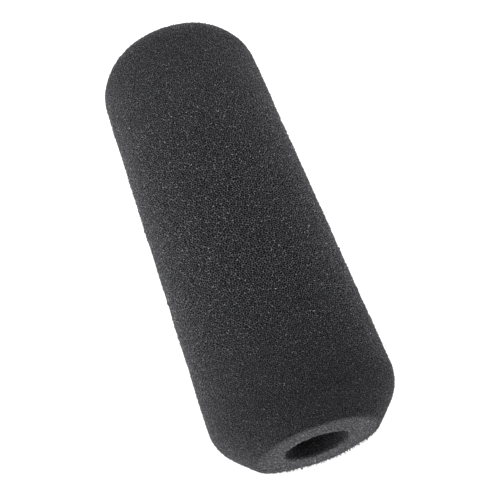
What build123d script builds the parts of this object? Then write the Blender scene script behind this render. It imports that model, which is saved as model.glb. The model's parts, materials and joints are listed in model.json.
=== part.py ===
from build123d import *
import os
from math import sqrt

# Foam windscreen for a shotgun microphone, in millimetres.
# A straight cylinder of open-cell foam with a rounded nose, a bevelled mouth end and a deep round
# bore that the microphone's tube is pushed into. The bore runs right through, and is wider at the
# nose, where a glued foam plug closes the screen over the microphone's tip.
#
# Frame: the origin is the centre of the bore's mouth, on the sliced mouth face. +Y runs from the
# mouth to the nose, +Z is up, and the screen lies on its side. Soft foam settles where it lies, so
# the barrel has a narrow contact flat along its underside, which also keeps it from rolling.

BODY_DIAMETER = 60.0        # across the straight barrel
BODY_LENGTH = 160.0         # from the mouth face to the flat of the nose
MOUTH_FACE_DIAMETER = 40.0  # outer edge of the flat ring round the bore
BEVEL_HEIGHT = 9.6          # along the axis, from the mouth face to the barrel
SHOULDER_RADIUS = 14.0      # softens the corner between the bevel and the barrel
CROWN_RADIUS = 13.5         # rounds the barrel into the nose
BORE_DIAMETER = 20.5        # grips microphone tubes of 21 to 22 mm
PLUG_DIAMETER = 24.0        # the foam plug is wider than the bore and rests on its step
PLUG_THICKNESS = 18.0       # foam in front of the microphone's tip
GLUE_THICKNESS = 0.2        # film of flexible adhesive round the plug and under its rim
CONTACT_FLAT_WIDTH = 8.0    # across the flat that the barrel lies on

BODY_RADIUS = BODY_DIAMETER / 2
MOUTH_FACE_RADIUS = MOUTH_FACE_DIAMETER / 2
BORE_RADIUS = BORE_DIAMETER / 2
PLUG_RADIUS = PLUG_DIAMETER / 2
SEAT_RADIUS = PLUG_RADIUS + GLUE_THICKNESS
SEAT_FLOOR = BODY_LENGTH - PLUG_THICKNESS
CONTACT_FLAT_Z = -sqrt(BODY_RADIUS**2 - (CONTACT_FLAT_WIDTH / 2) ** 2)

FOLDER = "parts"


def section_of(outline):
    """The flat half section inside a closed outline. Each point is (radius, height)."""
    return make_face(Polyline(*outline, close=True))


def rounded_corner(section, radius, height, fillet_radius):
    """The section with its corner nearest to (radius, height) rounded."""
    corner = section.vertices().sort_by_distance(Vector(radius, height))[0]
    return fillet(corner, fillet_radius)


def below_contact_flat():
    """The space under the surface that the screen lies on."""
    top_face_at_z = (Align.CENTER, Align.CENTER, Align.MAX)
    block = Box(BODY_DIAMETER, 2 * BODY_LENGTH, BODY_DIAMETER, align=top_face_at_z)
    return Pos(0, BODY_LENGTH / 2, CONTACT_FLAT_Z) * block


def foam_body():
    """The barrel: bevelled mouth end, rounded nose, microphone bore and the plug's wider seat."""
    section = section_of([
        (BORE_RADIUS, 0),
        (MOUTH_FACE_RADIUS, 0),
        (BODY_RADIUS, BEVEL_HEIGHT),
        (BODY_RADIUS, BODY_LENGTH),
        (SEAT_RADIUS, BODY_LENGTH),
        (SEAT_RADIUS, SEAT_FLOOR),
        (BORE_RADIUS, SEAT_FLOOR),
    ])
    section = rounded_corner(section, BODY_RADIUS, BODY_LENGTH, CROWN_RADIUS)
    section = rounded_corner(section, BODY_RADIUS, BEVEL_HEIGHT, SHOULDER_RADIUS)
    return revolve(section, Axis.Y) - below_contact_flat()


def nose_plug():
    """The foam disc that closes the bore, flush with the flat of the nose."""
    floor = SEAT_FLOOR + GLUE_THICKNESS
    section = section_of([
        (0, floor),
        (PLUG_RADIUS, floor),
        (PLUG_RADIUS, BODY_LENGTH),
        (0, BODY_LENGTH),
    ])
    return revolve(section, Axis.Y)


def glue_film():
    """The adhesive: a sleeve round the plug with a narrow ring under the plug's rim."""
    ring_top = SEAT_FLOOR + GLUE_THICKNESS
    section = section_of([
        (BORE_RADIUS, SEAT_FLOOR),
        (SEAT_RADIUS, SEAT_FLOOR),
        (SEAT_RADIUS, BODY_LENGTH),
        (PLUG_RADIUS, BODY_LENGTH),
        (PLUG_RADIUS, ring_top),
        (BORE_RADIUS, ring_top),
    ])
    return revolve(section, Axis.Y)


os.makedirs(FOLDER, exist_ok=True)
for make_node in (foam_body, nose_plug, glue_film):
    node = make_node()
    node.label = make_node.__name__
    export_step(node, os.path.join(FOLDER, node.label + ".step"))
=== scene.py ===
"""A foam microphone windscreen, dressed for its picture. All sizes are in metres, in the CAD frame.

The foam is built cell by cell. Each cell of the open foam that the surface cuts through is a pit
between raised struts, on a surface spun about the bore's axis, so the pores, the frayed cut edges
and the nibbled outline are all in the mesh. The material colours them, with painted shade that
darkens the pits and painted glints on a few joints, and adds a fine grain.
"""
import json
import math
import bpy
import numpy as np
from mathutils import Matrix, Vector
from mathutils.geometry import delaunay_2d_cdt


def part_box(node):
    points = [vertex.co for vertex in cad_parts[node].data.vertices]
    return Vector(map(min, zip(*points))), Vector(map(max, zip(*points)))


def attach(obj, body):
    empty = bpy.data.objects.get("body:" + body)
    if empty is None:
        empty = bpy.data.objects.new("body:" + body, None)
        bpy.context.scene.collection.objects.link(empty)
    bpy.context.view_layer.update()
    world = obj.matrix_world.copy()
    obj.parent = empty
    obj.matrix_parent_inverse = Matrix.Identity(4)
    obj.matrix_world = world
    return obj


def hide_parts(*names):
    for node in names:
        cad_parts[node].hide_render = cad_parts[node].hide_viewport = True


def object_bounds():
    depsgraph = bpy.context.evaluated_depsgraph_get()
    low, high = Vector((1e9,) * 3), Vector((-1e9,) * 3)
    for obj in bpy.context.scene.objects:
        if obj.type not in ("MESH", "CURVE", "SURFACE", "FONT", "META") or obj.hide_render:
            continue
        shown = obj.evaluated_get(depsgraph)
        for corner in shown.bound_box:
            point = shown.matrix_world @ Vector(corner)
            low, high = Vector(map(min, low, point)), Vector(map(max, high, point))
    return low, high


MM = 0.001
SEED = 20
TURN = 2 * math.pi

# The foam's outline. What the frame's boxes and mounts don't say is repeated from the CAD model.
MOUTH_FACE_RADIUS = 20.0 * MM
BEVEL_HEIGHT = 9.6 * MM
SHOULDER_RADIUS = 14.0 * MM
CROWN_RADIUS = 13.5 * MM
BORE_LIP_RADIUS = 1.0 * MM       # the cut edges of soft foam aren't sharp
MOUTH_EDGE_RADIUS = 1.2 * MM
ARC_STEP = math.radians(2)
FEWEST_ARC_STEPS = 3
STRAIGHT_STEP = 0.5 * MM

# The foam's cells.
CELL_PITCH = 0.82 * MM           # from one cell to the next
DEEP_CELL_PITCH = 2.2 * MM       # far down the bore, where hardly any light falls
FINE_BORE_DEPTH = 25.0 * MM      # light from the mouth still falls this far down the bore
PITCH_GROWTH = 0.04              # how fast the cells widen beyond that
ROW_JITTER = 0.45                # of a cell's width and of a row's height
ROW_STEP = 0.85                  # from one row to the next, in pitches, like the shares below
FIRST_ROW = 0.7                  # from the first end row to the first jittered one
LAST_ROW = 0.4                   # from the last jittered one to the last end row, at least
START_GAP = 0.4                  # from the first end row to any jittered cell, at least
STOP_GAP = 0.3                   # and from the last end row
FEWEST_IN_ROW = 12
RING_GAP = 0.45                  # on a disc, from its middle or its rim to the nearest ring, at least
RIM_GAP = 0.4                    # and from its rim to any jittered cell
RING_HEIGHT = 0.8                # what a ring's jitter is a share of
FEWEST_IN_RING = 3
SAME_PLACE = 1e-9                # centres closer than this count as one
STRUT_WIDTH = (0.38, 0.52)       # share of a cell's radius that its struts take
STRUT_VARIETY = (0.5, 1.5)       # how that share changes round one cell
STRUT_ROUGHNESS = 0.15 * MM      # how unevenly the struts' joints stand
RIM_DEPTH = 0.20 * MM            # from the struts' tops to the pit's inner rim
RIM_SHADE = 0.45                 # how far towards the pit's painted shade that rim's colour is
PIT_DEPTH = 0.80 * MM            # from the struts' tops to the pit's bottom
DEPTH_VARIETY = (0.6, 1.5)
SKIN_RISE = 0.08 * MM            # the struts' tops stand this far proud of the plain solid
WAVE_HEIGHT = 0.10 * MM          # slow unevenness of a hand-cut block
WAVE_LENGTHS = (9 * MM, 40 * MM)
WAVES = 10
SPIKE_SHARE = 0.10               # of the joints that end in a cut strut
SPIKE_HEIGHT = 0.16 * MM
SPIKE_VARIETY = (0.3, 1)
FRAYS = 230                      # cut struts that hang from the mouth's outer edge
FRAY_LENGTHS = (0.5 * MM, 1.0 * MM)
FRAY_WIDTHS = (0.12 * MM, 0.24 * MM)    # from a cut strut's middle to its corners, at its root
FRAY_TAPER = 0.7                 # the width of a tip, as a share of its root's
FRAY_BAND = 0.08 * MM            # how closely they keep to the edge
FRAY_LEAN = 0.2                  # how unevenly they hang
FRAY_SIDE = math.radians(335)    # the longest hang where the blade came out of the foam
SEAM_BAND = 0.5 * MM             # beside a glued seam the struts lie level,
SEAM_CORE = 0.5                  # wholly so in this share of the band,
SEAM_TONE = 0.12                 # and the glue has darkened them
SEAM_CELLS = 125                 # cells along the seam round the plug
WRAP_MARGIN = 0.9                # how far the unrolled cells are repeated past their joint line
SLICE_FADE = 2.0 * MM            # how far in from its outer edge the mouth face is fully sliced
SLICE_LIP = 0.5 * MM             # the same at the bore's rim
SLICE_FINENESS = 0.85            # the size of the sliced cells, as a share of the others'
SLICE_DEPTH = 0.65               # and their depth
SLICE_SHADE = 0.65               # and how dark their painted pit shade is
SLICE_TONE = 1.08                # and how light their struts are
END_LENGTH = 50.0 * MM           # the cells are packed closer this far from each end
END_FINENESS = 0.62              # the size of the cells at the mouth, as a share of the others'
END_EVENNESS = 0.8               # how much their lightness varies, as a share of the others'
NOSE_SHARE = 0.8                 # how far the nose's cells go towards the mouth's

# Places on the pieces' textures, as shares of the whole.
MAP_NAME = "OFBake"
MAP_EDGE = 0.01
MAP_TOP = 0.96
BORE_MAP_SHARE = 0.15
MAP_QUARTER = 0.25

# The camera stands where the outline, the bore's rim and the mouth face look as they should.
CAMERA_PLACE = (-43.22 * MM, -65.16 * MM, 245.76 * MM)
CAMERA_ELEVATION = math.radians(59.64)
CAMERA_HEADING = math.radians(18.40)   # from +Y towards +X
CAMERA_LENS = 59.69                    # millimetres, on a 36 mm sensor
SENSOR_WIDTH = 36.0
CAMERA_REACH = (0.01, 20)              # the nearest and the farthest it sees

# Looks. Colours are linear.
STRUT_COLOUR = (0.131, 0.130, 0.141, 1)
# Painted shade: the pits are coloured darker the deeper they go, in place of the shade that falls in
# the pores.
RIM_PAINTED_SHADE = (0.015, 0.015, 0.016, 1)
STRUT_EDGE = 0.28                # how far down a strut's side its colour has changed to the rim's painted shade
PIT_PAINTED_SHADE = (0.002, 0.002, 0.0025, 1)
GRAIN_SIZE = 0.5 * MM
GRAIN_DETAIL = 3
GRAIN_REACH = (0.3, 0.7)         # the noise hardly ever leaves this range
GRAIN_SHADE = (0.6, 1.4)         # which is stretched to this one
BUMP_STRENGTH = 1.0
BUMP_DEPTH = 0.15 * MM
FOAM_ROUGHNESS = 0.7
FOAM_SPECULAR = 0.12
SHEEN_WEIGHT = 0.15
SHEEN_ROUGHNESS = 0.5
CELL_TONE_SPREAD = 0.12          # of the logarithm of one cell's lightness
JOINT_TONE_SPREAD = 0.76         # and of one joint's
PAINTED_GLINT = 3.0                    # painted highlight: how much lighter the brightest joints are painted, in place of glints off the struts
PAINTED_GLINT_RARITY = 40              # the higher, the fewer of them
GLUE_DARK = (0.010, 0.010, 0.011, 1)
GLUE_LIGHT = (0.024, 0.023, 0.025, 1)
GLUE_LUMP_SIZE = 1.5 * MM
GLUE_LUMP_DETAIL = 2
GLUE_BUMP_STRENGTH = 0.4
GLUE_BUMP_DEPTH = 0.1 * MM
GLUE_ROUGHNESS = 0.55
FLOOR_HALF_WIDTH = 4.0
FLOOR_GLOW = 0.97
FLOOR_WHITE = 0.5
FLOOR_ROUGHNESS = 0.9
HORIZON_GLOW = 1.2
ZENITH_GLOW = 0.03
HORIZON_TOP = math.sin(math.radians(20))    # the tent's glow is even up to here
ZENITH_FOOT = math.sin(math.radians(40))    # and has faded by here
# Each soft box: its name, the way it stands and its elevation in degrees, its distance from the
# middle of the object, its width and height, and its radiance. 0 degrees is in front, towards -Y,
# and 90 is to the right, towards +X.
SOFTBOXES = (
    ("right_box", 135, 40, 1.2, 0.6, 0.4, 4.4),
    ("left_box", 290, 40, 1.2, 0.5, 0.35, 5.0),
    ("low_box", 270, 10, 1.2, 0.6, 0.4, 1.2),
    ("back_box", 225, 40, 1.2, 0.6, 0.4, 1.7),
    ("top_box", 180, 67, 0.35, 0.3, 0.15, 1.35),
)


# ---- outline -------------------------------------------------------------------------------

def rounded_path(corners):
    """Points along a path of (radius, height) corners, each with its own fillet radius."""
    points = [np.array(corners[0][:2])]
    for before, corner, after in zip(corners, corners[1:], corners[2:]):
        here = np.array(corner[:2])
        fillet = corner[2]
        back = np.array(before[:2]) - here
        ahead = np.array(after[:2]) - here
        back /= np.linalg.norm(back)
        ahead /= np.linalg.norm(ahead)
        half = math.acos(np.clip(back @ ahead, -1, 1)) / 2
        middle = here + (back + ahead) / np.linalg.norm(back + ahead) * fillet / math.sin(half)
        start = here + back * fillet / math.tan(half) - middle
        stop = here + ahead * fillet / math.tan(half) - middle
        sweep = math.pi - 2 * half
        count = max(FEWEST_ARC_STEPS, math.ceil(sweep / ARC_STEP))
        for share in np.linspace(0, 1, count + 1):
            a = math.sin((1 - share) * sweep) / math.sin(sweep)
            b = math.sin(share * sweep) / math.sin(sweep)
            points.append(middle + start * a + stop * b)
    points.append(np.array(corners[-1][:2]))
    dense = [points[0]]
    for p, q in zip(points, points[1:]):
        count = max(1, math.ceil(np.linalg.norm(q - p) / STRAIGHT_STEP))
        dense += [p + (q - p) * k / count for k in range(1, count + 1)]
    return np.array(dense)


class Outline:
    """A path of (radius, height) points that is spun about the Y axis. It is measured two ways:
    along its own length, and by 'lift', its length counted in local radii. In turn and lift the
    spun surface is unrolled with no shear, so cells that are round there are round on the foam."""

    def __init__(self, path):
        self.radius, self.height = path[:, 0], path[:, 1]
        steps = np.linalg.norm(np.diff(path, axis=0), axis=1)
        self.length = np.concatenate([[0], np.cumsum(steps)])
        mean_radius = (self.radius[1:] + self.radius[:-1]) / 2
        self.lift = np.concatenate([[0], np.cumsum(steps / mean_radius)])
        along = np.gradient(path, self.length, axis=0)
        along /= np.linalg.norm(along, axis=1)[:, None]
        self.normal = np.stack([along[:, 1], -along[:, 0]], axis=1)

    def at_lift(self, lift, values):
        """Values that are known at the outline's points, at each lift."""
        return np.interp(lift, self.lift, values)


def body_outline(bore_radius, seat_radius, body_radius, length, bore_depth):
    """From the bore's blind end out over the mouth, along the barrel and in to the plug's seam."""
    return Outline(rounded_path([
        (bore_radius, bore_depth),
        (bore_radius, 0.0, BORE_LIP_RADIUS),
        (MOUTH_FACE_RADIUS, 0.0, MOUTH_EDGE_RADIUS),
        (body_radius, BEVEL_HEIGHT, SHOULDER_RADIUS),
        (body_radius, length, CROWN_RADIUS),
        (seat_radius, length),
    ]))


# ---- cells ---------------------------------------------------------------------------------

def loose_rows(outline, pitch_at, end_count, rng):
    """Cell centres as (turn, lift), in jittered rows. The first and last row are even, with the
    same count, and lie exactly on the outline's two ends."""
    rows = [np.stack([np.arange(end_count) / end_count * TURN, np.zeros(end_count)], axis=1)]
    whole = outline.length[-1]
    place = pitch_at(0.0) * FIRST_ROW
    while place < whole - pitch_at(whole) * LAST_ROW:
        pitch = pitch_at(place)
        radius = np.interp(place, outline.length, outline.radius)
        count = max(FEWEST_IN_ROW, round(TURN * radius / pitch))
        shift = rng.uniform(-ROW_JITTER, ROW_JITTER, (count, 2))
        turn = (np.arange(count) + rng.random() + shift[:, 0]) / count * TURN % TURN
        along = place + shift[:, 1] * pitch * ROW_STEP
        along = np.clip(along, pitch * START_GAP, whole - pitch * STOP_GAP)
        rows.append(np.stack([turn, np.interp(along, outline.length, outline.lift)], axis=1))
        place += pitch * ROW_STEP
    rows.append(rows[0] + [0, outline.lift[-1]])
    centres = np.concatenate(rows)
    ends = [np.arange(end_count), np.arange(len(centres) - end_count, len(centres))]
    return centres, ends


def disc_points(radius, pitch, end_count, rng):
    """Cell centres inside a circle, with an even ring of them on it."""
    rows = []
    place = pitch * RING_GAP
    while place < radius - pitch * RING_GAP:
        count = max(FEWEST_IN_RING, round(TURN * place / pitch))
        shift = rng.uniform(-ROW_JITTER, ROW_JITTER, (count, 2))
        turn = (np.arange(count) + rng.random() + shift[:, 0]) / count * TURN
        out = np.minimum(place + shift[:, 1] * pitch * RING_HEIGHT, radius - pitch * RIM_GAP)
        rows.append(np.stack([np.cos(turn) * out, np.sin(turn) * out], axis=1))
        place += pitch * ROW_STEP
    turn = np.arange(end_count) / end_count * TURN
    rows.append(np.stack([np.cos(turn) * radius, np.sin(turn) * radius], axis=1))
    centres = np.concatenate(rows)
    return centres, [np.arange(len(centres) - end_count, len(centres))]


def triangles_of(centres, wraps):
    """Delaunay triangles of the centres. On a surface that wraps round, centres near the joint
    line are repeated beyond it, and 'source' says which centre each point repeats."""
    points, source = centres, np.arange(len(centres))
    if wraps:
        near_start = np.flatnonzero(centres[:, 0] < WRAP_MARGIN)
        near_end = np.flatnonzero(centres[:, 0] > TURN - WRAP_MARGIN)
        beyond = centres[near_start] + [TURN, 0]
        ahead = centres[near_end] - [TURN, 0]
        points = np.concatenate([centres, beyond, ahead])
        source = np.concatenate([source, near_start, near_end])
    plain_triangles = 0
    found = delaunay_2d_cdt([Vector(p) for p in points], [], [], plain_triangles, SAME_PLACE)
    triangles = np.array(found[2])
    number = np.array([which[0] for which in found[3]])
    triangles = number[triangles]
    return points, source, triangles[(triangles < len(centres)).any(axis=1)]


def relaxed(centres, ends, wraps):
    """The centres after each has moved to the middle of the triangles round it. The ends stay."""
    points, _, triangles = triangles_of(centres, wraps)
    middle = points[triangles].mean(axis=1)
    total = np.zeros_like(points)
    count = np.zeros(len(points))
    for corner in range(3):
        np.add.at(total, triangles[:, corner], middle)
        np.add.at(count, triangles[:, corner], 1)
    moved = total[:len(centres)] / count[:len(centres), None]
    held = np.zeros(len(centres), bool)
    held[np.concatenate(ends)] = True
    moved[held] = centres[held]
    if wraps:
        moved[~held, 0] %= TURN
    return moved


class Cells:
    """The foam's cells on an unrolled surface. Each cell is a ring of joints, where three struts
    meet. 'cell', 'joint', 'where' and 'after' have one entry for each joint of each cell, in order
    round the cell: the cell's number, the joint's number and place, and which entry comes next."""

    def __init__(self, centres, ends, wraps):
        self.centres = relaxed(centres, ends, wraps)
        points, source, triangles = triangles_of(self.centres, wraps)
        middle = points[triangles].mean(axis=1)
        named = np.sort(source[triangles], axis=1)
        _, first, joint = np.unique(named, axis=0, return_index=True, return_inverse=True)
        joint = joint.ravel()
        joints = [middle[first]]
        cell, spot, where = [], [], []
        for corner in range(3):
            kept = triangles[:, corner] < len(centres)
            cell.append(triangles[kept, corner])
            spot.append(joint[kept])
            where.append(middle[kept])
        # The cells of an even end row also meet at joints half-way between them.
        self.loops = []
        self.at_end = np.zeros(len(centres), bool)
        base = len(first)
        for end in ends:
            self.at_end[end] = True
            follower = self.centres[np.roll(end, -1)].copy()
            if wraps:
                follower[-1, 0] += TURN
            half_way = (self.centres[end] + follower) / 2
            number = base + np.arange(len(end))
            joints.append(half_way)
            cell += [end, np.roll(end, -1)]
            spot += [number, number]
            back = half_way.copy()
            if wraps:
                back[-1, 0] -= TURN
            where += [half_way, back]
            self.loops.append(number)
            base += len(end)
        self.joints = np.concatenate(joints)
        cell, spot, where = np.concatenate(cell), np.concatenate(spot), np.concatenate(where)
        away = where - self.centres[cell]
        angle = np.arctan2(away[:, 1], away[:, 0]) % TURN
        order = np.lexsort((angle, cell))
        self.cell, self.joint, self.where = cell[order], spot[order], where[order]
        self.count = np.bincount(self.cell, minlength=len(centres))
        self.start = np.concatenate([[0], np.cumsum(self.count)[:-1]])
        last = np.arange(len(self.cell)) == (self.start + self.count - 1)[self.cell]
        self.after = np.where(last, self.start[self.cell], np.arange(len(self.cell)) + 1)

    def evened(self, values):
        """The joints' values less the mean of the cells that meet there, so that no patch stands
        out as a whole."""
        in_cell = np.bincount(self.cell, weights=values[self.joint]) / self.count
        shared = np.bincount(self.joint)
        return values - np.bincount(self.joint, weights=in_cell[self.cell]) / shared


# ---- foam ----------------------------------------------------------------------------------

class Spun:
    """The surface that an outline sweeps about the Y axis, unrolled as (turn, lift)."""
    wraps = True

    def __init__(self, outline):
        self.outline = outline

    def on_surface(self, flat):
        """The smooth surface's places and normals, at flat coordinates."""
        turn, lift = flat[:, 0], flat[:, 1]
        outline = self.outline
        radius = outline.at_lift(lift, outline.radius)
        height = outline.at_lift(lift, outline.height)
        out, up = (outline.at_lift(lift, outline.normal[:, k]) for k in (0, 1))
        size = np.hypot(out, up)
        sine, cosine = -np.sin(turn), -np.cos(turn)
        place = np.stack([radius * sine, height, radius * cosine], axis=1)
        normal = np.stack([out * sine, up, out * cosine], axis=1) / size[:, None]
        return place, normal

    def on_map(self, flat):
        """Flat coordinates as shares of the piece's texture: round it, then along it."""
        along = self.outline.at_lift(flat[..., 1], self.outline.length)
        mouth = self.outline.length[np.argmin(self.outline.height)]
        whole = self.outline.length[-1]
        down_bore = along / mouth * BORE_MAP_SHARE
        outside = BORE_MAP_SHARE + (along - mouth) / (whole - mouth) * (MAP_TOP - BORE_MAP_SHARE)
        across = MAP_EDGE + flat[..., 0] / TURN * (1 - 2 * MAP_EDGE)
        return np.stack([across, MAP_EDGE + np.where(along < mouth, down_bore, outside)], axis=-1)


class Disc:
    """A flat round face across the Y axis, facing the nose or the mouth."""
    wraps = False

    def __init__(self, radius, height, faces_nose):
        self.radius, self.height, self.faces_nose = radius, height, faces_nose

    def on_surface(self, flat):
        """The smooth face's places and normals, at flat coordinates."""
        a, b = flat[:, 0], flat[:, 1]
        height = np.full(len(flat), self.height)
        normal = np.zeros((len(flat), 3))
        normal[:, 1] = 1 if self.faces_nose else -1
        across = (b, height, a) if self.faces_nose else (a, height, b)
        return np.stack(across, axis=1), normal

    def on_map(self, flat):
        """Flat coordinates as shares of the piece's texture, where the two faces lie side by side."""
        middle = np.array([MAP_QUARTER if self.faces_nose else 1 - MAP_QUARTER, MAP_QUARTER])
        return middle + flat / self.radius * (MAP_QUARTER - MAP_EDGE)


def scaled(share, amount):
    """A factor that goes from 1 to the share as the amount goes from 0 to 1."""
    return 1 + (share - 1) * amount


class Foam:
    """How the foam's struts and pits stand off the smooth surface, from where they are."""

    def __init__(self, bore_radius, bore_depth, seat_radius, length, floor, rng):
        self.bore_radius, self.bore_depth, self.seat_radius = bore_radius, bore_depth, seat_radius
        self.length, self.floor = length, floor
        self.rng = rng
        direction = rng.normal(size=(WAVES, 3))
        direction /= np.linalg.norm(direction, axis=1)[:, None]
        self.wave = direction * TURN / rng.uniform(*WAVE_LENGTHS, WAVES)[:, None]
        self.phase = rng.uniform(0, TURN, WAVES)

    def pitch(self, place):
        """The cells' pitch at each place."""
        out = np.hypot(place[:, 0], place[:, 2])
        in_bore = (out < self.bore_radius + MM) & (place[:, 1] < self.bore_depth + MM)
        deep = np.where(in_bore, place[:, 1] - FINE_BORE_DEPTH, 0)
        pitch = np.clip(CELL_PITCH + PITCH_GROWTH * deep, CELL_PITCH, DEEP_CELL_PITCH)
        pitch *= scaled(SLICE_FINENESS, self.sliced(place))
        return pitch * scaled(END_FINENESS, self.near_end(place))

    def offset(self, place):
        """The slow unevenness of a hand-cut block, which dies away at the glued seam."""
        wave = np.sin(place @ self.wave.T + self.phase).sum(axis=1) * WAVE_HEIGHT / WAVES**0.5
        return (SKIN_RISE + wave) * self.away_from_seam(place)

    def sliced(self, place):
        """1 on the mouth face, where a blade has closed the cells up, and 0 away from it."""
        out = np.hypot(place[:, 0], place[:, 2])
        inside = np.clip((out - self.bore_radius) / SLICE_LIP, 0, 1)
        outside = np.clip((MOUTH_FACE_RADIUS - out) / SLICE_FADE, 0, 1)
        return np.where(place[:, 1] < BEVEL_HEIGHT / 2, inside * outside, 0)

    def away_from_seam(self, place):
        """0 beside the glued seam round the plug, and 1 away from it."""
        out = np.hypot(place[:, 0], place[:, 2])
        gap = np.hypot(out - self.seat_radius, place[:, 1] - self.length)
        return np.clip(gap / SEAM_BAND - SEAM_CORE, 0, 1)

    def near_end(self, place):
        """1 beside the mouth, less at the nose, and 0 on the sliced face and in the middle."""
        near_mouth = np.clip(1 - place[:, 1] / END_LENGTH, 0, 1)
        near_nose = np.clip(1 - (self.length - place[:, 1]) / END_LENGTH, 0, 1)
        return (near_mouth + NOSE_SHARE * near_nose) * (1 - self.sliced(place))

    def joint_heights(self, place):
        """Where the struts' joints stand: a little uneven, with some cut struts sticking out."""
        rng, count = self.rng, len(place)
        is_spike = rng.random(count) < SPIKE_SHARE
        spike = is_spike * SPIKE_HEIGHT * rng.uniform(*SPIKE_VARIETY, count)
        rough = rng.normal(0, STRUT_ROUGHNESS, count)
        return (rough + spike) * self.away_from_seam(place)

    def moved(self, surface, flat, height):
        """Places on the surface, moved out by height and pressed flat where the foam lies."""
        place, normal = surface.on_surface(flat)
        place = place + normal * (self.offset(place) + height)[:, None]
        place[:, 2] = np.maximum(place[:, 2], self.floor)
        return place


class MeshParts:
    """The vertices and faces of one piece, as they are added."""

    def __init__(self):
        self.places, self.pits, self.tones_and_glints = [], [], []
        self.faces, self.maps = [], []
        self.total = 0

    def add_vertices(self, places, pits, tones_and_glints):
        """Adds vertices with the painted pit shade and the lightness, painted glints included, of
        each, and returns their numbers.
        """
        number = self.total + np.arange(len(places))
        self.places.append(places)
        self.pits.append(pits)
        self.tones_and_glints.append(tones_and_glints)
        self.total += len(places)
        return number

    def add_faces(self, faces, maps):
        """faces is one row of vertex numbers for each face, maps the same with texture places."""
        self.faces.append(faces)
        self.maps.append(maps)

    def made(self, name):
        """The finished piece, as an object in the scene."""
        mesh = bpy.data.meshes.new(name)
        places = np.concatenate(self.places)
        corners = np.concatenate([f.ravel() for f in self.faces])
        sizes = np.concatenate([np.full(len(f), f.shape[1]) for f in self.faces])
        mesh.vertices.add(len(places))
        mesh.vertices.foreach_set("co", places.astype(np.float32).ravel())
        mesh.loops.add(len(corners))
        mesh.loops.foreach_set("vertex_index", corners.astype(np.int32))
        mesh.polygons.add(len(sizes))
        mesh.polygons.foreach_set("loop_start", (np.cumsum(sizes) - sizes).astype(np.int32))
        maps = np.concatenate([m.reshape(-1, 2) for m in self.maps])
        layer = mesh.uv_layers.new(name=MAP_NAME)
        layer.uv.foreach_set("vector", maps.astype(np.float32).ravel())
        # 'pit' carries the painted pit shade, 'tone' the lightness with its painted glints.
        for key, values in (("pit", self.pits), ("tone", self.tones_and_glints)):
            attribute = mesh.attributes.new(key, "FLOAT", "POINT")
            attribute.data.foreach_set("value", np.concatenate(values).astype(np.float32))
        mesh.update(calc_edges=True)
        mesh.shade_smooth()
        piece = bpy.data.objects.new(name, mesh)
        bpy.context.scene.collection.objects.link(piece)
        return piece


def add_cells(parts, foam, surface, centres, ends):
    """Adds open cells over a surface, with a flat one for each centre on an end. Returns the vertex
    numbers along each of its ends."""
    rng = foam.rng
    cells = Cells(centres, ends, surface.wraps)
    cell, after, centres = cells.cell, cells.after, cells.centres
    centre_place = surface.on_surface(centres)[0]
    scale = np.sqrt(foam.pitch(centre_place) / CELL_PITCH)
    width = rng.uniform(*STRUT_WIDTH, len(centres))[cell] * rng.uniform(*STRUT_VARIETY, len(cell))
    rim = centres[cell] + (cells.where - centres[cell]) * (1 - width)[:, None]
    rim_depth = RIM_DEPTH * rng.uniform(*DEPTH_VARIETY, len(cell)) * scale[cell]
    pit_depth = PIT_DEPTH * rng.uniform(*DEPTH_VARIETY, len(centres)) * scale
    tone = np.exp(rng.normal(0, CELL_TONE_SPREAD, len(centres)))
    sliced = foam.sliced(centre_place)
    pit_depth *= scaled(SLICE_DEPTH, sliced)
    # The painted pit shade, lighter on the sliced mouth face.
    shade = scaled(SLICE_SHADE, sliced)

    joint_place = surface.on_surface(cells.joints)[0]
    joint_top = foam.moved(surface, cells.joints, foam.joint_heights(joint_place))
    spread = JOINT_TONE_SPREAD * scaled(END_EVENNESS, foam.near_end(joint_place))
    joint_tone_and_glint = np.exp(cells.evened(rng.normal(0, 1, len(joint_top))) * spread)
    # Painted glints: a few joints are made much lighter, standing in for highlights off the struts.
    joint_tone_and_glint += PAINTED_GLINT * rng.random(len(joint_top))**PAINTED_GLINT_RARITY
    joint_tone_and_glint *= scaled(SLICE_TONE, foam.sliced(joint_place))
    joint_tone_and_glint *= SEAM_TONE + (1 - SEAM_TONE) * foam.away_from_seam(joint_place)
    # Each vertex carries its share of the painted pit shade, none on the joints, and its lightness.
    joints = parts.add_vertices(joint_top, np.zeros(len(joint_top)), joint_tone_and_glint)
    rims = parts.add_vertices(
        foam.moved(surface, rim, -rim_depth), RIM_SHADE * shade[cell], tone[cell])
    pits = parts.add_vertices(foam.moved(surface, centres, -pit_depth), shade, tone)

    open_cell = ~cells.at_end[cell]
    here, there = joints[cells.joint], joints[cells.joint][after]
    walls = np.stack([here, there, rims[after], rims], axis=1)[open_cell]
    wall_map = np.stack([cells.where, cells.where[after], rim[after], rim], axis=1)[open_cell]
    parts.add_faces(walls, surface.on_map(wall_map))
    floors = np.stack([rims, rims[after], pits[cell]], axis=1)[open_cell]
    floor_map = np.stack([rim, rim[after], centres[cell]], axis=1)[open_cell]
    parts.add_faces(floors, surface.on_map(floor_map))
    for end_cell in np.flatnonzero(cells.at_end):
        ring = cells.start[end_cell] + np.arange(cells.count[end_cell])
        parts.add_faces(here[ring][None], surface.on_map(cells.where[ring])[None])
    return [joints[loop] for loop in cells.loops]


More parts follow.
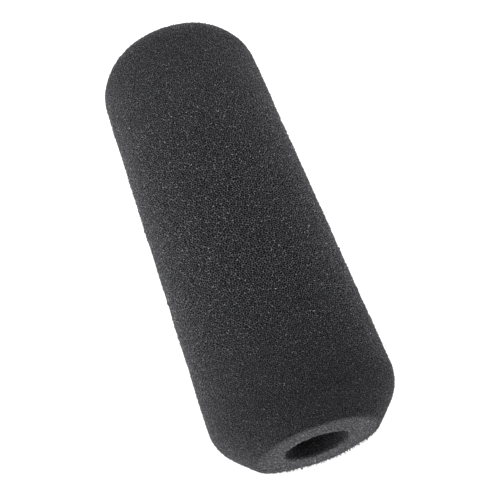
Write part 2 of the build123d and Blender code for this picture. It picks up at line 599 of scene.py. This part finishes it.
def add_frays(parts, foam, surface):
    """Cut struts that hang from the mouth's outer edge, each a small three-sided peg."""
    rng, outline = foam.rng, surface.outline
    turn = (np.arange(FRAYS) + rng.random(FRAYS)) / FRAYS * TURN
    hang = np.clip(np.cos(turn - FRAY_SIDE), 0, 1)
    on_edge = np.argmin(np.hypot(outline.radius - MOUTH_FACE_RADIUS, outline.height))
    along = outline.length[on_edge] + rng.normal(0, FRAY_BAND, FRAYS)
    flat = np.stack([turn, np.interp(along, outline.length, outline.lift)], axis=1)
    place, normal = surface.on_surface(flat)
    lean = normal + rng.normal(0, FRAY_LEAN, (FRAYS, 3))
    lean /= np.linalg.norm(lean, axis=1)[:, None]
    across = np.cross(lean, rng.normal(size=(FRAYS, 3)))
    across /= np.linalg.norm(across, axis=1)[:, None]
    aside = np.cross(lean, across)
    root = place - normal * RIM_DEPTH
    tip = root + lean * (RIM_DEPTH + rng.uniform(*FRAY_LENGTHS, FRAYS) * hang)[:, None]
    width = rng.uniform(*FRAY_WIDTHS, FRAYS)[:, None]
    low, high = [], []
    for corner in range(3):
        angle = corner * TURN / 3
        spoke = (across * math.cos(angle) + aside * math.sin(angle)) * width
        low.append(parts.add_vertices(root + spoke, np.zeros(FRAYS), np.ones(FRAYS)))
        high.append(parts.add_vertices(tip + spoke * FRAY_TAPER, np.zeros(FRAYS), np.ones(FRAYS)))
    spot = surface.on_map(flat)[:, None]
    for corner in range(3):
        beside = (corner + 1) % 3
        side = np.stack([low[corner], low[beside], high[beside], high[corner]], axis=1)
        parts.add_faces(side, np.repeat(spot, 4, axis=1))
    for cap in (high, low[::-1]):
        parts.add_faces(np.stack(cap, axis=1), np.repeat(spot, 3, axis=1))


def add_band(parts, loop, other):
    """Plain faces between two rings of the same count, out of sight inside a glued joint."""
    faces = np.stack([loop, np.roll(loop, -1), np.roll(other, -1), other], axis=1)
    parts.add_faces(faces, np.full((len(loop), 4, 2), 1 - MAP_EDGE / 2))


def make_body(foam, outline):
    """The foam body: cells from the bore's end round to the plug's seam, and the plain seat."""
    def pitch_at(along):
        radius = np.interp(along, outline.length, outline.radius)
        height = np.interp(along, outline.length, outline.height)
        return foam.pitch(np.array([[radius, height, 0.0]]))[0]

    parts = MeshParts()
    surface = Spun(outline)
    centres, ends = loose_rows(outline, pitch_at, SEAM_CELLS, foam.rng)
    bore_end, seam = add_cells(parts, foam, surface, centres, ends)
    add_frays(parts, foam, surface)
    turns = (np.arange(SEAM_CELLS) + 0.5) / SEAM_CELLS * TURN
    seat_floor = np.full(SEAM_CELLS, outline.height[0])
    across = (-foam.seat_radius * np.sin(turns), seat_floor, -foam.seat_radius * np.cos(turns))
    step = parts.add_vertices(np.stack(across, axis=1), np.ones(SEAM_CELLS), np.ones(SEAM_CELLS))
    add_band(parts, seam, step)
    add_band(parts, step, bore_end)
    return parts.made("foam_body_cells")


def make_plug(foam, radius, floor, top):
    """The foam plug: open cells on its nose face and on the face that closes the bore."""
    parts = MeshParts()
    loops = []
    for height, faces_nose in ((top, True), (floor, False)):
        surface = Disc(radius, height, faces_nose)
        pitch = foam.pitch(np.array([[0.0, height, 0.0]]))[0]
        centres, ends = disc_points(radius, pitch, SEAM_CELLS, foam.rng)
        loops += add_cells(parts, foam, surface, centres, ends)
    nose_loop, bore_loop = loops
    add_band(parts, nose_loop, bore_loop)
    return parts.made("nose_plug_cells")


# ---- materials -----------------------------------------------------------------------------

def new_material(name):
    """A material with a plain shader, and its node tree and that shader."""
    material = bpy.data.materials.new(name)
    material.use_nodes = True
    return material, material.node_tree, material.node_tree.nodes["Principled BSDF"]


def set_inputs(node, values):
    """Sets constant inputs of a node, by their names."""
    for name, value in values.items():
        node.inputs[name].default_value = value


def read_attribute(tree, name):
    """The value that the mesh's vertices carry under a name."""
    attribute = tree.nodes.new("ShaderNodeAttribute")
    attribute.attribute_name = name
    return attribute.outputs["Fac"]


def noise_on_object(tree, size, detail):
    """Soft noise that is fixed to the object, with lumps of about this size."""
    place = tree.nodes.new("ShaderNodeTexCoord")
    noise = tree.nodes.new("ShaderNodeTexNoise")
    set_inputs(noise, {"Scale": 1 / size, "Detail": detail})
    tree.links.new(place.outputs["Object"], noise.inputs["Vector"])
    return noise.outputs["Fac"]


def add_bump(tree, shader, height, strength, depth):
    """Lets a height from 0 to 1 ripple the surface, as far as its shading goes."""
    bump = tree.nodes.new("ShaderNodeBump")
    set_inputs(bump, {"Strength": strength, "Distance": depth})
    tree.links.new(height, bump.inputs["Height"])
    tree.links.new(bump.outputs["Normal"], shader.inputs["Normal"])


def colour_ramp(tree, value, first, last):
    """A ramp that turns a value from 0 to 1 into a colour from the first to the last."""
    ramp = tree.nodes.new("ShaderNodeValToRGB")
    ramp.color_ramp.elements[0].color = first
    ramp.color_ramp.elements[1].color = last
    tree.links.new(value, ramp.inputs["Fac"])
    return ramp


def foam_material(name):
    """Charcoal foam with painted shade: darker down in the pits, lighter on the struts, a little
    different by cell.
    """
    material, tree, shader = new_material(name)
    # Painted shade: the ramp darkens the colour from the struts' tops down to the pits' bottoms.
    ramp = colour_ramp(tree, read_attribute(tree, "pit"), STRUT_COLOUR, PIT_PAINTED_SHADE)
    ramp.color_ramp.elements.new(STRUT_EDGE).color = RIM_PAINTED_SHADE
    # Lightness by cell and joint, at random, with the painted glints of a few joints.
    tone = read_attribute(tree, "tone")
    grain = noise_on_object(tree, GRAIN_SIZE, GRAIN_DETAIL)
    stretched = tree.nodes.new("ShaderNodeMapRange")
    set_inputs(stretched, {
        "From Min": GRAIN_REACH[0],
        "From Max": GRAIN_REACH[1],
        "To Min": GRAIN_SHADE[0],
        "To Max": GRAIN_SHADE[1],
    })
    tree.links.new(grain, stretched.inputs["Value"])
    both = tree.nodes.new("ShaderNodeMath")
    both.operation = "MULTIPLY"
    tree.links.new(tone, both.inputs[0])
    tree.links.new(stretched.outputs["Result"], both.inputs[1])
    tinted = tree.nodes.new("ShaderNodeVectorMath")
    tinted.operation = "SCALE"
    tree.links.new(ramp.outputs["Color"], tinted.inputs[0])
    tree.links.new(both.outputs[0], tinted.inputs["Scale"])
    tree.links.new(tinted.outputs["Vector"], shader.inputs["Base Color"])
    add_bump(tree, shader, grain, BUMP_STRENGTH, BUMP_DEPTH)
    set_inputs(shader, {
        "Roughness": FOAM_ROUGHNESS,
        "Specular IOR Level": FOAM_SPECULAR,
        "Sheen Weight": SHEEN_WEIGHT,
        "Sheen Roughness": SHEEN_ROUGHNESS,
    })
    return material


def glue_material():
    """Dull black rubbery adhesive, a little lumpy."""
    material, tree, shader = new_material("glue_film_rubber")
    lumps = noise_on_object(tree, GLUE_LUMP_SIZE, GLUE_LUMP_DETAIL)
    ramp = colour_ramp(tree, lumps, GLUE_DARK, GLUE_LIGHT)
    tree.links.new(ramp.outputs["Color"], shader.inputs["Base Color"])
    add_bump(tree, shader, lumps, GLUE_BUMP_STRENGTH, GLUE_BUMP_DEPTH)
    set_inputs(shader, {"Roughness": GLUE_ROUGHNESS})
    return material


def floor_material():
    """A white table that glows a little, as in a light tent, so that shadows on it stay faint."""
    material, _, shader = new_material("white_table")
    set_inputs(shader, {
        "Base Color": (FLOOR_WHITE, FLOOR_WHITE, FLOOR_WHITE, 1),
        "Roughness": FLOOR_ROUGHNESS,
        "Emission Color": (1, 1, 1, 1),
        "Emission Strength": FLOOR_GLOW,
    })
    return material


# ---- stage ---------------------------------------------------------------------------------

def make_floor(height):
    """The table that the windscreen lies on."""
    mesh = bpy.data.meshes.new("table")
    signs = ((-1, -1), (1, -1), (1, 1), (-1, 1))
    corners = [(x * FLOOR_HALF_WIDTH, y * FLOOR_HALF_WIDTH, height) for x, y in signs]
    mesh.from_pydata(corners, [], [(0, 1, 2, 3)])
    floor = bpy.data.objects.new("table", mesh)
    bpy.context.scene.collection.objects.link(floor)
    mesh.materials.append(floor_material())
    return floor


def add_softbox(middle, name, way, elevation, distance, width, height, radiance):
    """A soft box aimed at the object. It lights the scene but doesn't show in it."""
    light = bpy.data.lights.new(name, "AREA")
    light.shape = "RECTANGLE"
    light.size, light.size_y = width, height
    light.energy = radiance * math.pi * width * height
    way, elevation = math.radians(way), math.radians(elevation)
    back = Vector((
        math.sin(way) * math.cos(elevation),
        -math.cos(way) * math.cos(elevation),
        math.sin(elevation),
    ))
    lamp = bpy.data.objects.new(name, light)
    lamp.location = middle + back * distance
    lamp.rotation_mode = "QUATERNION"
    lamp.rotation_quaternion = (-back).to_track_quat("-Z", "Y")
    lamp.visible_camera = False
    bpy.context.scene.collection.objects.link(lamp)


def light_the_scene(middle):
    """A light tent: a white glow round the horizon, a dark top, and soft boxes."""
    world = bpy.data.worlds.new("tent")
    world.use_nodes = True
    nodes, links = world.node_tree.nodes, world.node_tree.links
    background = nodes["Background"]
    set_inputs(background, {"Color": (1, 1, 1, 1)})
    direction = nodes.new("ShaderNodeTexCoord")
    parts = nodes.new("ShaderNodeSeparateXYZ")
    fade = nodes.new("ShaderNodeMapRange")
    fade.interpolation_type = "SMOOTHSTEP"
    set_inputs(fade, {
        "From Min": HORIZON_TOP,
        "From Max": ZENITH_FOOT,
        "To Min": HORIZON_GLOW,
        "To Max": ZENITH_GLOW,
    })
    links.new(direction.outputs["Generated"], parts.inputs[0])
    links.new(parts.outputs["Z"], fade.inputs["Value"])
    links.new(fade.outputs["Result"], background.inputs["Strength"])
    bpy.context.scene.world = world
    for softbox in SOFTBOXES:
        add_softbox(middle, *softbox)


def add_camera():
    """The camera that takes the picture."""
    data = bpy.data.cameras.new("camera")
    data.lens = CAMERA_LENS
    data.sensor_width = SENSOR_WIDTH
    data.clip_start, data.clip_end = CAMERA_REACH
    camera = bpy.data.objects.new("camera", data)
    camera.location = CAMERA_PLACE
    ahead = Vector((
        math.sin(CAMERA_HEADING) * math.cos(CAMERA_ELEVATION),
        math.cos(CAMERA_HEADING) * math.cos(CAMERA_ELEVATION),
        -math.sin(CAMERA_ELEVATION),
    ))
    camera.rotation_mode = "QUATERNION"
    camera.rotation_quaternion = ahead.to_track_quat("-Z", "Y")
    bpy.context.scene.collection.objects.link(camera)
    bpy.context.scene.camera = camera


# ---- everything ----------------------------------------------------------------------------

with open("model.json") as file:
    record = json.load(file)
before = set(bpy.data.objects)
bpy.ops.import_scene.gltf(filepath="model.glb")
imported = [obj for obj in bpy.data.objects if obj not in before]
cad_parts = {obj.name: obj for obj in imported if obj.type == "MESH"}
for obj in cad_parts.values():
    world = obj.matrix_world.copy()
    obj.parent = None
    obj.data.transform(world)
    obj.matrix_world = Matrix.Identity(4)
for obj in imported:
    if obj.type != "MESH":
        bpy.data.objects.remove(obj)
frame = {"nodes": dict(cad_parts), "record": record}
cad_low, cad_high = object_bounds()
add_camera()

mounts = {mount["name"]: mount for mount in frame["record"]["mounts"]}
bore_radius = mounts["mic_bore"]["dims"]["r_mm"] * MM
body_low, body_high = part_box("foam_body")
plug_low, plug_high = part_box("nose_plug")
film_low, film_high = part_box("glue_film")

rng = np.random.default_rng(SEED)
foam = Foam(bore_radius, film_low.y, film_high.x, body_high.y, body_low.z, rng)
outline = body_outline(bore_radius, film_high.x, body_high.x, body_high.y, film_low.y)
body = make_body(foam, outline)
plug = make_plug(foam, plug_high.x, plug_low.y, plug_high.y)
for piece, node, slot in ((body, "foam_body", "body_foam"), (plug, "nose_plug", "plug_foam")):
    piece.data.materials.append(foam_material(slot))
    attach(piece, "root")
    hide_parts(node)

film = frame["nodes"]["glue_film"]
for film_slot in film.material_slots:
    film_slot.material = glue_material()

floor = make_floor(cad_low.z)
light_the_scene((cad_low + cad_high) / 2)
bpy.context.scene.view_settings.view_transform = "Standard"
